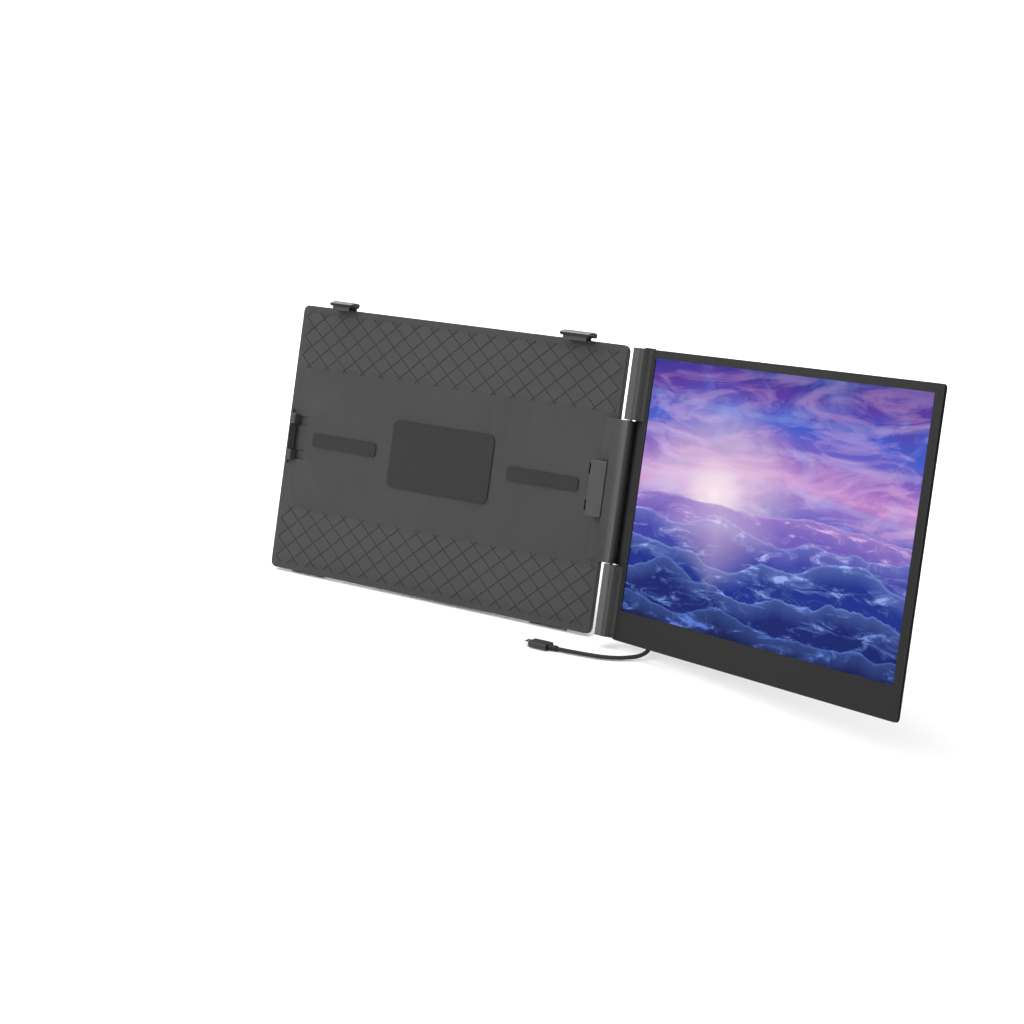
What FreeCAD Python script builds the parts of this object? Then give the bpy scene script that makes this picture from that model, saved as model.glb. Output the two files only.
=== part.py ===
import FreeCAD, Part
import math, os

V = FreeCAD.Vector

# ---------------------------------------------------------------- driving dimensions (mm)
LEAN = 20.02            # bracket leans back from upright, degrees
TURN = 19.51            # monitor turned towards the user from flat, degrees

# bracket plate, in plate coordinates: x right, s up along the plate, n out of its front
PX0, PX1 = -14.0, 369.9
PS0, PS1 = -14.2, 228.9
PN_FRONT, PN_BACK = -7.0, -13.4
PLATE_SKIN = 2.0        # front plate
COVER_SKIN = 1.8        # rear cover
PLATE_R = 6.0           # corner radius
PAD_T = 1.0             # grip pads proud of the plate
LIP_N = 2.0             # front of the claw lips
GROOVE_PITCH = 17.6
GROOVE_D = 0.5

# centre hinge
AX, AN = 388.48, 1.2    # hinge axis in plate coordinates
GX = 389.98             # origin of the monitor's own coordinates, at n = 0
BAR_R = 5.0             # barrel radius
KS0, KS1 = 48.6, 167.4  # knuckle, bottom and top
PIN_R = 2.2
PIN_GAP = 0.05

# monitor, in its own coordinates: u away from the hinge, s up, m out of its front
MU0, MU1 = 13.8, 398.0
MS0, MS1 = -12.7, 227.9
WU0, WU1, WS0, WS1 = 22.7, 388.1, 12.65, 221.0   # visible screen area
EDGE_T = 2.6            # thickness at the edge
REAR_M = -9.0           # rear face
TAPER = 14.0
WALL = 1.6

# stand
ST_X0, ST_X1 = 118.6, 238.6
ST_S, ST_N = 112.0, -17.0
ST_L = 136.2
ST_OPEN = 51.0          # degrees from folded to open

# surface the object stands on, in level coordinates
TABLE_Z = -10.2
BASE_H = 7.97            # origin of the leaning frame above level zero

# cord
CORD_D = 3.5

# origin: centre of the grip pad on the plate's front
OX, OS, ON = 178.6, 107.35, -6.0

# the buttons
BTN_TRAVEL = 0.8

# ---------------------------------------------------------------- frames
R_LEAN = FreeCAD.Rotation(V(1, 0, 0), -LEAN)
v0 = V(OX, -ON, OS)
PL_B = FreeCAD.Placement(R_LEAN.multVec(v0) * -1, R_LEAN)
PL_M = PL_B.multiply(FreeCAD.Placement(V(GX, 0, 0), FreeCAD.Rotation(V(0, 0, 1), -TURN)))
# hinge axis in the monitor's own coordinates
_t = math.radians(TURN)
UC = (AX - GX) * math.cos(_t) + AN * math.sin(_t)
MC = -(AX - GX) * math.sin(_t) + AN * math.cos(_t)

os.makedirs("parts", exist_ok=True)
made = {}


def put(name, shape, frame=None):
    """Places a shape from its own coordinates into the object's frame and writes it."""
    s = shape.copy()
    if frame is not None:
        s.Placement = frame.multiply(s.Placement)
    solids = s.Solids
    assert solids, name
    for q in solids:
        assert q.isValid() and q.Volume > 0, name
    out = solids[0] if len(solids) == 1 else Part.makeCompound(solids)
    out.exportStep("parts/%s.step" % name)
    made[name] = out
    print("%-24s solids %2d  %.2f cm3" % (name, len(solids), sum(q.Volume for q in solids) / 1000))


def box(x0, x1, n0, n1, s0, s1):
    """A box given in x, n and s. n points out of the front, so it is -Y here."""
    return Part.makeBox(x1 - x0, n1 - n0, s1 - s0, V(x0, -n1, s0))


def prism(pts, s0, s1):
    """A straight prism along s over a polygon of (x, n) points."""
    w = Part.makePolygon([V(a, -b, s0) for a, b in pts] + [V(pts[0][0], -pts[0][1], s0)])
    return Part.Face(w).extrude(V(0, 0, s1 - s0))


def rod_s(x, n, r, s0, s1):
    return Part.makeCylinder(r, s1 - s0, V(x, -n, s0), V(0, 0, 1))


def rod_x(n, s, r, x0, x1):
    return Part.makeCylinder(r, x1 - x0, V(x0, -n, s), V(1, 0, 0))


def rod_n(x, s, r, n0, n1):
    return Part.makeCylinder(r, n1 - n0, V(x, -n0, s), V(0, -1, 0))


def fillet_s(shape, r, pick=None):
    """Rounds the edges that run along n."""
    es = []
    for e in shape.Edges:
        if len(e.Vertexes) == 2:
            d = e.Vertexes[1].Point - e.Vertexes[0].Point
            if d.Length > 0.3 and abs(abs(d.y) - d.Length) < 1e-6:
                if pick is None or pick(e.Vertexes[0].Point):
                    es.append(e)
    return shape.makeFillet(r, es)


def rbox(x0, x1, n0, n1, s0, s1, r):
    return fillet_s(box(x0, x1, n0, n1, s0, s1), r)


def fuse(a, *rest):
    return a.fuse(list(rest)).removeSplitter()


def chamfer_front(shape, n, c):
    """Chamfers the outer edges that lie in the plane n."""
    es = []
    for e in shape.Edges:
        if all(abs(p.Point.y + n) < 1e-4 for p in e.Vertexes) and abs(e.CenterOfMass.y + n) < 1e-4:
            es.append(e)
    return shape.makeChamfer(c, es)


# ================================================================ bracket
SX = 0.5 * (PX0 + PX1)
SM = 0.5 * (PS0 + PS1)
SKIN_BACK = PN_FRONT - PLATE_SKIN          # rear of the front plate
CAV_BACK = PN_BACK + COVER_SKIN            # floor of the rear cover

CLAW_X = (40.9, 317.7)                     # top claws
CLAW_WS = (27.0, 32.4)                     # widths of their heads
SIDE_S0, SIDE_S1 = 84.0, 131.0             # side claws

front = rbox(PX0, PX1, SKIN_BACK, PN_FRONT, PS0, PS1, PLATE_R)
front = chamfer_front(front, PN_FRONT, 0.5)

# crossed grooves on the front, above and below the smooth middle band
GX0, GX1 = PX0 + 6.0, PX1 - 3.8
ncol = 33
colw = (GX1 - GX0) / ncol
cuts = []


def groove(xa, sa, xb, sb):
    L = math.hypot(xb - xa, sb - sa)
    b = Part.makeBox(L, GROOVE_D + 0.5, 0.9, V(0, -0.5, -0.45))
    ang = math.degrees(math.atan2(sb - sa, xb - xa))
    b.Placement = FreeCAD.Placement(V(xa, -PN_FRONT, sa), FreeCAD.Rotation(V(0, 1, 0), -ang))
    return b


def band(sb, st, phase):
    """Two families of slanting lines that cross on a lattice, and end on the band's sides."""
    k = (GROOVE_PITCH / 2) / colw
    for sign in (1, -1):
        i = -80
        while i < 120:
            c = phase + i * GROOVE_PITCH
            # s = c + sign*k*(x-GX0)
            xs = []
            for s_lim in (sb, st):
                xs.append(GX0 + sign * (s_lim - c) / k)
            lo, hi = max(min(xs), GX0), min(max(xs), GX1)
            if hi - lo > 1.5:
                cuts.append(groove(lo, c + sign * k * (lo - GX0), hi, c + sign * k * (hi - GX0)))
            i += 1


band(172.0, 222.6, 165.5)
band(-8.5, 43.5, 14.3)
front_cut = front.cut(cuts)
if front_cut.isValid() and len(front_cut.Solids) == 1:
    front = front_cut.Solids[0]

# slots for the side claws' necks and windows for the grip pad's pegs
NECK = 7.0
SLOT_IN, SLOT_OUT = 12.0, 2.6
RNECK0 = 358.6
LNECK1 = 1.4 - 3.0
for s0, s1 in ((SIDE_S0 + 4, SIDE_S0 + 12), (SIDE_S1 - 12, SIDE_S1 - 4)):
    front = front.cut(box(RNECK0 - SLOT_IN - 0.5, RNECK0 + NECK + SLOT_OUT + 0.5, SKIN_BACK - 1, PN_FRONT + 1, s0 - 0.4, s1 + 0.4))
    front = front.cut(box(LNECK1 - NECK - SLOT_OUT - 0.5, LNECK1 + SLOT_IN + 0.5, SKIN_BACK - 1, PN_FRONT + 1, s0 - 0.4, s1 + 0.4))
# small round sinks beyond the ends of the left claw
for s in (SIDE_S0 + 0.4, SIDE_S1 - 0.4):
    front = front.cut(rod_n(-8.7, s, 1.9, PN_FRONT - 1.2, PN_FRONT + 1))
# screw holes of the hinge leaf, hidden under the knuckle's flange
put("bracket_front_plate", front, PL_B)

# rear cover: a tray whose rim carries the front plate
cover = rbox(PX0, PX1, PN_BACK, SKIN_BACK, PS0, PS1, PLATE_R)
cover = chamfer_front(cover, PN_BACK, 2.2)
cav = rbox(PX0 + 2.4, PX1 - 2.4, CAV_BACK, SKIN_BACK + 1, PS0 + 2.4, PS1 - 2.4, 3.8)
cover = cover.cut(cav)
# openings in the top wall for the claw arms, and in the right wall for the hinge leaf
for cx in CLAW_X:
    cover = cover.cut(box(cx - 12.5, cx + 12.5, CAV_BACK, SKIN_BACK + 1, PS1 - 4, PS1 + 1))
cover = cover.cut(box(PX1 - 4, PX1 + 1, CAV_BACK, SKIN_BACK + 1, KS0 + 6, KS1 - 6))
# screw posts
POSTS = [(x, s) for x in (-6.0, 110.0, 247.0, 363.2) for s in (-6.0, 220.5)] + [(110.0, 60.0), (247.0, 60.0)]
for x, s in POSTS:
    cover = fuse(cover, rod_n(x, s, 3.6, CAV_BACK - 0.2, SKIN_BACK))
for x, s in POSTS:
    cover = cover.cut(rod_n(x, s, 1.1, PN_BACK - 1, SKIN_BACK + 1))
    cover = cover.cut(rod_n(x, s, 2.3, PN_BACK - 1, PN_BACK + 1.2))
# lugs of the stand's hinge
LUG_W = 8.0
for x0 in (ST_X0 - LUG_W - 0.4, ST_X1 + 0.4):
    lug = fuse(box(x0, x0 + LUG_W, ST_N, PN_BACK + 0.5, ST_S - 4.2, ST_S + 4.2), rod_x(ST_N, ST_S, 4.2, x0, x0 + LUG_W))
    cover = fuse(cover, lug)
for x0 in (ST_X0 - LUG_W - 0.4, ST_X1 + 0.4):
    cover = cover.cut(rod_x(ST_N, ST_S, 1.6, x0 - 1, x0 + LUG_W + 1))
put("bracket_rear_cover", cover, PL_B)

screws = []
for x, s in POSTS:
    screws.append(fuse(rod_n(x, s, 2.1, PN_BACK + 0.1, PN_BACK + 1.2), rod_n(x, s, 1.08, PN_BACK + 1.0, SKIN_BACK - 0.1)).cut(
        box(x - 1.3, x + 1.3, PN_BACK - 0.1, PN_BACK + 0.6, s - 0.25, s + 0.25)))
put("bracket_screws", Part.makeCompound(screws), PL_B)

# grip pads on the front
put("centre_grip_pad", rbox(OX - 60, OX + 60, PN_FRONT, PN_FRONT + PAD_T, OS - 30, OS + 30, 6), PL_B)
pads = [rbox(a, b, PN_FRONT, PN_FRONT + PAD_T, s0, s1, 3) for a, b in ((20, 100), (257, 337)) for s0, s1 in ((OS - 6, OS + 6),)]
put("side_grip_pads", Part.makeCompound(pads), PL_B)

# foot strips under the bottom edge of the cover
feet = [box(a, b, PN_BACK + 2.4, PN_FRONT - 1.0, PS0 - 0.9, PS0) for a, b in ((14, 54), (303, 343))]
put("bracket_feet", Part.makeCompound(feet), PL_B)

# ---------------------------------------------------------------- top claws
ARM_N0, ARM_N1 = CAV_BACK + 0.15, SKIN_BACK - 0.15
HEAD_S0, HEAD_S1, HEAD_N0, HEAD_N1 = 230.9, 235.9, -9.2, 2.2
for name, cx, cw in (("left", CLAW_X[0], CLAW_WS[0]), ("right", CLAW_X[1], CLAW_WS[1])):
    x0, x1 = cx - cw / 2, cx + cw / 2
    arm = box(cx - 12, cx + 12, ARM_N0, ARM_N1, 176.0, 225.0)
    arm = arm.cut(rbox(cx - 3.2, cx + 3.2, ARM_N0 - 1, ARM_N1 + 1, 182.0, 222.0, 3.0))
    neck = fuse(box(cx - 8.5, cx + 8.5, ARM_N0, ARM_N1, 224.0, 234.2), box(cx - 8.5, cx + 8.5, ARM_N0, -7.0, 231.2, 234.2))
    head = fillet_s(box(x0, x1, HEAD_N0, HEAD_N1, HEAD_S0, HEAD_S1), 2.2)
    # long bevel along the top front edge, a short one along the rear
    bev = Part.makePolygon([V(x0 - 1, -HEAD_N1 + 5.0, HEAD_S1 + 0.1), V(x0 - 1, -HEAD_N1 - 0.1, HEAD_S1 - 2.6), V(x0 - 1, -HEAD_N1 - 0.1, HEAD_S1 + 0.1), V(x0 - 1, -HEAD_N1 + 5.0, HEAD_S1 + 0.1)])
    head = head.cut(Part.Face(bev).extrude(V(cw + 2, 0, 0)))
    bev2 = Part.makePolygon([V(x0 - 1, -HEAD_N0 - 2.0, HEAD_S1 + 0.1), V(x0 - 1, -HEAD_N0 + 0.1, HEAD_S1 - 1.2), V(x0 - 1, -HEAD_N0 + 0.1, HEAD_S1 + 0.1), V(x0 - 1, -HEAD_N0 - 2.0, HEAD_S1 + 0.1)])
    head = head.cut(Part.Face(bev2).extrude(V(cw + 2, 0, 0)))
    # lip that comes down in front of the clamped edge
    lip = box(x0 + 3.2, x1 - 3.2, 0.8, 1.3, 227.6, HEAD_S0 + 0.2)
    put("top_claw_%s" % name, fuse(arm, neck, head, lip), PL_B)
    lipf = box(x0 + 3.2, x1 - 3.2, 0.3, 0.8, 227.6, HEAD_S0)
    lipt = box(x0 + 3.2, x1 - 3.2, -5.6, 0.3, 228.75, HEAD_S0)
    put("top_claw_pad_%s" % name, fuse(lipf, lipt), PL_B)
    # guide peg in the arm's slot, fixed to the cover
    put("top_claw_guide_%s" % name, rod_n(cx, 218.5, 2.6, CAV_BACK, SKIN_BACK), PL_B)
    # tension spring between the arm's foot and the guide post
    pts = []
    turns, r_c, wire = 9, 1.05, 0.22
    hx = Part.makeHelix(3.0, 27.0, r_c * 0.95)
    prof = Part.Wire([Part.makeCircle(wire, V(r_c * 0.95, 0, 0), V(0, 1, 0.45))])
    spring = Part.Wire(hx.Edges).makePipeShell([prof], True, True)
    spring.Placement = FreeCAD.Placement(V(cx, -(ARM_N0 + ARM_N1) / 2, 186.0), FreeCAD.Rotation())
    put("top_claw_spring_%s" % name, spring, PL_B)

# ---------------------------------------------------------------- side claws
# right: a flat lip over the clamped edge, on two necks through the plate
sl = fillet_s(box(354.6, 371.4, 0.3, LIP_N, SIDE_S0, SIDE_S1), 1.6)
web = box(357.6, 366.0, PN_FRONT + 0.25, 0.5, SIDE_S0 + 1.0, SIDE_S1 - 1.0)
rc = fuse(sl, web)
necks = [box(RNECK0, RNECK0 + NECK, ARM_N0 + 0.2, PN_FRONT + 0.5, s0, s1) for s0, s1 in ((SIDE_S0 + 4, SIDE_S0 + 12), (SIDE_S1 - 12, SIDE_S1 - 4))]
foot_r = box(318.0, RNECK0 + NECK, ARM_N0, ARM_N1, SIDE_S0 + 2, SIDE_S1 - 2)
foot_r = foot_r.cut(rbox(322.0, 347.0, ARM_N0 - 1, ARM_N1 + 1, 103.5, 111.5, 3.4))
rc = fuse(rc, foot_r, *necks)
rc = chamfer_front(rc, LIP_N, 0.4)
put("side_claw_right", rc, PL_B)
put("side_claw_pad_right", box(356.9, 357.6, PN_FRONT + 0.6, 0.3, SIDE_S0 + 3, SIDE_S1 - 3), PL_B)
put("side_claw_guide_right", rod_n(330.5, 107.5, 3.6, CAV_BACK, SKIN_BACK), PL_B)

# left: two raised nubs against the clamped edge, with a soft strip between them
web = box(-9.6, -0.9, PN_FRONT + 0.25, -5.2, SIDE_S0 + 2.6, SIDE_S1 - 2.6)
NUBS = ((SIDE_S0 + 2.2, SIDE_S0 + 11.2), (SIDE_S1 - 11.2, SIDE_S1 - 2.2))
nub = []
for s0, s1 in NUBS:
    nb = fillet_s(box(-7.6, -0.9, PN_FRONT + 0.25, -0.6, s0, s1), 1.2)
    nub.append(chamfer_front(nb, -0.6, 0.5))
necks = [box(LNECK1 - NECK, LNECK1, ARM_N0 + 0.2, PN_FRONT + 0.5, s0, s1) for s0, s1 in ((SIDE_S0 + 4, SIDE_S0 + 12), (SIDE_S1 - 12, SIDE_S1 - 4))]
foot_l = box(LNECK1 - NECK, 40.0, ARM_N0, ARM_N1, SIDE_S0 + 2, SIDE_S1 - 2)
foot_l = foot_l.cut(rbox(11.0, 36.0, ARM_N0 - 1, ARM_N1 + 1, 103.5, 111.5, 3.4))
lc = fuse(web, *(nub + necks + [foot_l]))
put("side_claw_left", lc, PL_B)
put("side_claw_pad_left", box(-8.6, -0.9, -5.2, -3.6, SIDE_S0 + 11.9, SIDE_S1 - 11.9), PL_B)
put("side_claw_guide_left", rod_n(27.5, 107.5, 3.6, CAV_BACK, SKIN_BACK), PL_B)

# ---------------------------------------------------------------- knuckle of the centre hinge
prof = [(358.5, PN_FRONT), (358.5, -5.7), (359.0, -5.4), (374.9, -5.4), (374.9, 5.0), (376.0, AN + BAR_R), (AX, AN + BAR_R),
        (AX, AN - BAR_R), (384.4, AN - BAR_R), (378.4, -12.2), (377.2, PN_BACK), (PX1 + 0.0, PN_BACK), (PX1 + 0.0, PN_FRONT)]
kn = prism(prof, KS0, KS1)
kn = fuse(kn, rod_s(AX, AN, BAR_R, KS0, KS1))
# room for the right claw's lip and web over the flange
kn = kn.cut(box(353.0, 374.6, PN_FRONT - 0.01, 7.0, SIDE_S0 - 0.8, SIDE_S1 + 0.8))
# bores for the two torque units and the slot for the steel leaf
TU = 30.0
kn = kn.cut([rod_s(AX, AN, 3.6, KS0 - 1, KS0 + TU), rod_s(AX, AN, 3.6, KS1 - TU, KS1 + 1)])
kn = kn.cut(box(PX1 - 1, 375.5, CAV_BACK + 0.1, SKIN_BACK - 0.1, KS0 + 8, KS1 - 8))
put("hinge_knuckle", kn, PL_B)

LEAF = (KS0 + 8.3, KS1 - 8.3)
leaf = box(351.0, 375.3, CAV_BACK + 0.15, SKIN_BACK - 0.55, LEAF[0], LEAF[1])
leaf = leaf.cut(box(340.0, 366.4 + SLOT_OUT + 0.4, CAV_BACK, SKIN_BACK, SIDE_S0 + 1.0, SIDE_S1 - 1.0))
leaf_holes = [(357.0, LEAF[0] + 6), (357.0, LEAF[0] + 18), (357.0, LEAF[1] - 6), (357.0, LEAF[1] - 18)]
leaf = leaf.cut([rod_n(x, s, 1.25, CAV_BACK - 1, SKIN_BACK + 1) for x, s in leaf_holes])
put("hinge_leaf", leaf, PL_B)
put("hinge_leaf_screws", Part.makeCompound([fuse(rod_n(x, s, 1.2, CAV_BACK + 0.15, SKIN_BACK - 0.5), rod_n(x, s, 2.2, SKIN_BACK - 0.5, SKIN_BACK - 0.1)) for x, s in leaf_holes]), PL_B)

for name, a, b in (("lower", KS0 + 0.6, KS0 + TU), ("upper", KS1 - TU, KS1 - 0.6)):
    sleeve = rod_s(AX, AN, 3.6, a, b).cut(rod_s(AX, AN, PIN_R + PIN_GAP, a - 1, b + 1))
    put("torque_sleeve_%s" % name, sleeve, PL_B)

# ---------------------------------------------------------------- stand (open)
_o = math.radians(ST_OPEN)
stp = box(ST_X0, ST_X1, ST_N - 1.4, ST_N + 1.4, ST_S - ST_L + 4, ST_S)
stp = fillet_s(stp, 8.0, lambda p: p.z < ST_S - 60)
stp = fuse(stp, rod_x(ST_N, ST_S, 3.4, ST_X0, ST_X1))
stp = stp.cut(rbox(ST_X0 + 22, ST_X1 - 22, ST_N - 3, ST_N - 0.9, ST_S - 100, ST_S - 30, 6))
stp = stp.cut(rod_x(ST_N, ST_S, 1.6, ST_X0 - 1, ST_X1 + 1))
SROT = FreeCAD.Placement(V(0, 0, 0), FreeCAD.Rotation(V(1, 0, 0), ST_OPEN), V(0, -ST_N, ST_S))
put("stand_panel", stp, PL_B.multiply(SROT))
foot = rbox(ST_X0 + 6, ST_X1 - 6, ST_N - 1.4, ST_N + 1.4, ST_S - ST_L, ST_S - ST_L + 4, 1.8)
put("stand_foot", foot, PL_B.multiply(SROT))
pins = [rod_x(ST_N, ST_S, 1.55, ST_X0 - LUG_W - 0.4, ST_X0 + 14), rod_x(ST_N, ST_S, 1.55, ST_X1 - 14, ST_X1 + LUG_W + 0.4)]
put("stand_hinge_pins", Part.makeCompound(pins), PL_B)

# ================================================================ monitor
bez = rbox(MU0, MU1, -0.8, 0.0, MS0, MS1, 3.5)
bez = chamfer_front(bez, 0.0, 0.3)
bez = bez.cut(rbox(WU0, WU1, -2, 1, WS0, WS1, 0.8))
put("monitor_bezel", bez, PL_M)

put("display_panel", rbox(WU0 - 3, WU1 + 3, -2.1, -0.85, WS0 - 3, WS1 + 3, 0.8), PL_M)
put("light_guide", box(WU0 - 2, WU1 + 2, -3.6, -2.15, WS0 - 2, WS1 + 2), PL_M)
put("backlight_tray", box(WU0 - 3, WU1 + 1.6, -4.1, -3.65, WS0 - 3, WS1 + 0.6), PL_M)


def rrect(u0, u1, s0, s1, r, m):
    """A closed wire: rectangle with round corners in the plane m."""
    def p(u, s):
        return V(u, -m, s)
    k = r * (1 - math.sqrt(0.5))
    es = [Part.LineSegment(p(u0 + r, s0), p(u1 - r, s0)).toShape(),
          Part.Arc(p(u1 - r, s0), p(u1 - k, s0 + k), p(u1, s0 + r)).toShape(),
          Part.LineSegment(p(u1, s0 + r), p(u1, s1 - r)).toShape(),
          Part.Arc(p(u1, s1 - r), p(u1 - k, s1 - k), p(u1 - r, s1)).toShape(),
          Part.LineSegment(p(u1 - r, s1), p(u0 + r, s1)).toShape(),
          Part.Arc(p(u0 + r, s1), p(u0 + k, s1 - k), p(u0, s1 - r)).toShape(),
          Part.LineSegment(p(u0, s1 - r), p(u0, s0 + r)).toShape(),
          Part.Arc(p(u0, s0 + r), p(u0 + k, s0 + k), p(u0 + r, s0)).toShape()]
    return Part.Wire(es)


# rear shell: straight edge, then a shallow slope to the rear face
slab = Part.Face(rrect(MU0, MU1, MS0, MS1, 3.5, -0.85)).extrude(V(0, EDGE_T - 0.85, 0))
outer = Part.makeLoft([rrect(MU0, MU1, MS0, MS1, 3.5, -EDGE_T), rrect(MU0 + 0.5, MU1 - TAPER, MS0 + TAPER, MS1 - TAPER, 3.5, REAR_M)], True, True)
shell = fuse(slab, outer)
in1 = Part.Face(rrect(MU0 + WALL, MU1 - WALL, MS0 + WALL, MS1 - WALL, 2.0, -0.5)).extrude(V(0, 2.2, 0))
in2 = Part.makeLoft([rrect(MU0 + WALL, MU1 - WALL, MS0 + WALL, MS1 - WALL, 2.0, -EDGE_T), rrect(MU0 + WALL + 0.5, MU1 - TAPER - 0.4, MS0 + TAPER + 0.4, MS1 - TAPER - 0.4, 2.0, REAR_M + WALL)], True, True)
shell = shell.cut([in1, in2])
# connector hump on the lower rear, hollow, open to the shell
HU0, HU1, HS0, HS1, HM = 46.0, 146.0, 34.0, 78.0, -16.6
hump = rbox(HU0, HU1, HM, REAR_M + WALL - 0.2, HS0, HS1, 4.0)
hump = chamfer_front(hump, HM, 1.6)
shell = fuse(shell, hump)
shell = shell.cut(rbox(HU0 + WALL, HU1 - WALL, HM + WALL, REAR_M + WALL + 1, HS0 + WALL, HS1 - WALL, 2.4))
# port mouths in the hump's lower wall
PORT_M = -12.9
PORTS = (60.0, 78.0)


def pill(u, m, r, half, s0, s1):
    """A long-round prism along s."""
    return fuse(box(u - half, u + half, m - r, m + r, s0, s1), rod_s(u - half, m, r, s0, s1), rod_s(u + half, m, r, s0, s1))


for u in PORTS:
    shell = shell.cut(pill(u, PORT_M, 1.65, 2.9, HS0 - 1, HS0 + 3))
HD = 97.0
shell = shell.cut(box(HD - 5.7, HD + 5.7, PORT_M - 1.8, PORT_M + 1.8, HS0 - 1, HS0 + 3))
# openings for the two buttons and the light pipe on the far side of the hump
BTN = ((46.0, 8.0), (58.5, 10.0))
for s, w in BTN:
    shell = shell.cut(box(HU1 - 3, HU1 + 1, PORT_M - 1.6, PORT_M + 1.6, s - w / 2, s + w / 2))
shell = shell.cut(rod_x(PORT_M, 68.5, 0.9, HU1 - 3, HU1 + 1))
# speaker slots and vents in the rear face
slots = []
for uc in (70.0, 340.0):
    for i in range(7):
        slots.append(rbox(uc - 14 + i * 4, uc - 12.6 + i * 4, REAR_M - 1, REAR_M + WALL + 1, 102.0, 116.0, 0.6))
for i in range(14):
    slots.append(rbox(150 + i * 8, 151.6 + i * 8, REAR_M - 1, REAR_M + WALL + 1, 190.0, 204.0, 0.7))
shell = shell.cut(slots)
# screw holes for the two hinge plates
MSCREW = [(30.0, 10.0), (42.0, 24.0), (30.0, 192.0), (42.0, 206.0)]
shell = shell.cut([rod_n(u, s, 1.2, REAR_M - 1, REAR_M + WALL + 1) for u, s in MSCREW])
shell = shell.cut([rod_n(u, s, 2.3, REAR_M - 1, REAR_M + 0.8) for u, s in MSCREW])
CSCREW = [(200.0, 20.0), (300.0, 20.0), (200.0, 206.0), (300.0, 206.0)]
shell = shell.cut([rod_n(u, s, 2.3, REAR_M - 1, REAR_M + 0.8) for u, s in CSCREW])
# the shell's left wall opens to let the hinge plates pass into the spines
for a, b in ((MS0 + 12, KS0 - 14), (KS1 + 14, MS1 - 12)):
    shell = shell.cut(box(MU0 - 1, MU0 + 3.2, -6.6, -4.5, a, b))
# floor of the recess behind the knuckle, between the two spines
floor = box(-1.6, MU0 + 0.8, -5.8, -4.3, KS0 - 0.8, KS1 + 0.8)
for g in (KS0 + 30, KS1 - 30):
    floor = floor.cut(box(0.4, MU0 - 1.4, -4.7, -4.2, g - 0.4, g + 0.4))
shell = fuse(shell, floor)
put("monitor_rear_shell", shell, PL_M)

# spine covers above and below the knuckle
nose = [(UC, MC + BAR_R), (7.2, MC + BAR_R), (9.4, MC + BAR_R - 0.45), (11.4, MC + BAR_R - 1.6), (13.2, MC + BAR_R - 3.3), (14.9, MC + BAR_R - 5.0), (16.4, 0.35), (17.0, 0.05),
        (MU0 - 0.05, 0.05), (MU0 - 0.05, -8.6), (11.5, REAR_M), (8.5, REAR_M), (UC, MC - BAR_R)]
SP = {"lower": (-11.5, KS0 - 0.9), "upper": (KS1 + 0.9, MS1)}
for name, (a, b) in SP.items():
    sp = fuse(prism(nose, a, b), rod_s(UC, MC, BAR_R, a, b))
    # steel hinge plate pocket and pin bore
    pa, pb = (b - 30.0, b) if name == "lower" else (a, a + 30.0)
    sp = sp.cut(rod_s(UC, MC, PIN_R, pa - 0.0, pb + 0.0))
    ga, gb = (a + 14, b - 15) if name == "lower" else (a + 15, b - 14)
    sp = sp.cut(box(6.0, MU0 + 1, -6.5, -4.6, ga, gb))
    if name == "upper":
        # raised end tab on the top of the spine
        sp = fuse(sp, box(8.6, 13.4, -5.0, 2.6, b - 0.2, b + 0.9))
    put("spine_%s" % name, sp, PL_M)
    plate = box(6.2, 48.0, -6.4, -4.7, ga + 0.2, gb - 0.2)
    sel = [(u, s) for u, s in MSCREW if (s < 100) == (name == "lower")]
    plate = plate.cut([rod_n(u, s, 1.2, -8, -3) for u, s in sel])
    put("hinge_plate_%s" % name, plate, PL_M)
    # pin: fast in the spine, turning in the torque sleeve
    za, zb = (pa, KS0 + TU - 1.0) if name == "lower" else (KS1 - TU + 1.0, pb)
    put("hinge_pin_%s" % name, rod_s(UC, MC, PIN_R, za, zb), PL_M)

ms = [fuse(rod_n(u, s, 2.2, REAR_M + 0.1, REAR_M + 0.8), rod_n(u, s, 1.15, REAR_M + 0.7, -6.5)) for u, s in MSCREW]
ms += [rod_n(u, s, 2.2, REAR_M + 0.1, REAR_M + 0.8) for u, s in CSCREW]
put("monitor_screws", Part.makeCompound(ms), PL_M)

# driver board, in the hump, with its connectors
board = box(HU0 + 3.2, HU1 - 3.2, -10.6, -9.6, HS0 + 3, HS1 - 3)
put("driver_board", board, PL_M)
sockets = []
for u in PORTS:
    ring = pill(u, PORT_M, 1.6, 2.9, HS0 + 0.8, HS0 + 9.0).cut(pill(u, PORT_M, 1.25, 2.9, HS0 + 0.5, HS0 + 8.0))
    sockets.append(fuse(ring, box(u - 2.6, u + 2.6, PORT_M - 0.3, PORT_M + 0.3, HS0 + 1.6, HS0 + 8.5)))
put("usb_c_sockets", Part.makeCompound(sockets), PL_M)
hd = box(HD - 5.6, HD + 5.6, PORT_M - 1.75, PORT_M + 1.75, HS0 + 0.8, HS0 + 9.0).cut(box(HD - 5.2, HD + 5.2, PORT_M - 1.4, PORT_M + 1.4, HS0 + 0.5, HS0 + 8.0))
hd = fuse(hd, box(HD - 4.2, HD + 4.2, PORT_M - 0.3, PORT_M + 0.3, HS0 + 1.6, HS0 + 8.5))
put("mini_hdmi_socket", hd, PL_M)
put("panel_ribbon", box(112.0, 134.0, -9.4, -4.25, 50.0, 50.35), PL_M)
put("speakers", Part.makeCompound([box(uc - 16, uc + 16, -7.2, -4.4, 100.0, 118.0) for uc in (70.0, 340.0)]), PL_M)
caps = []
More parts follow.
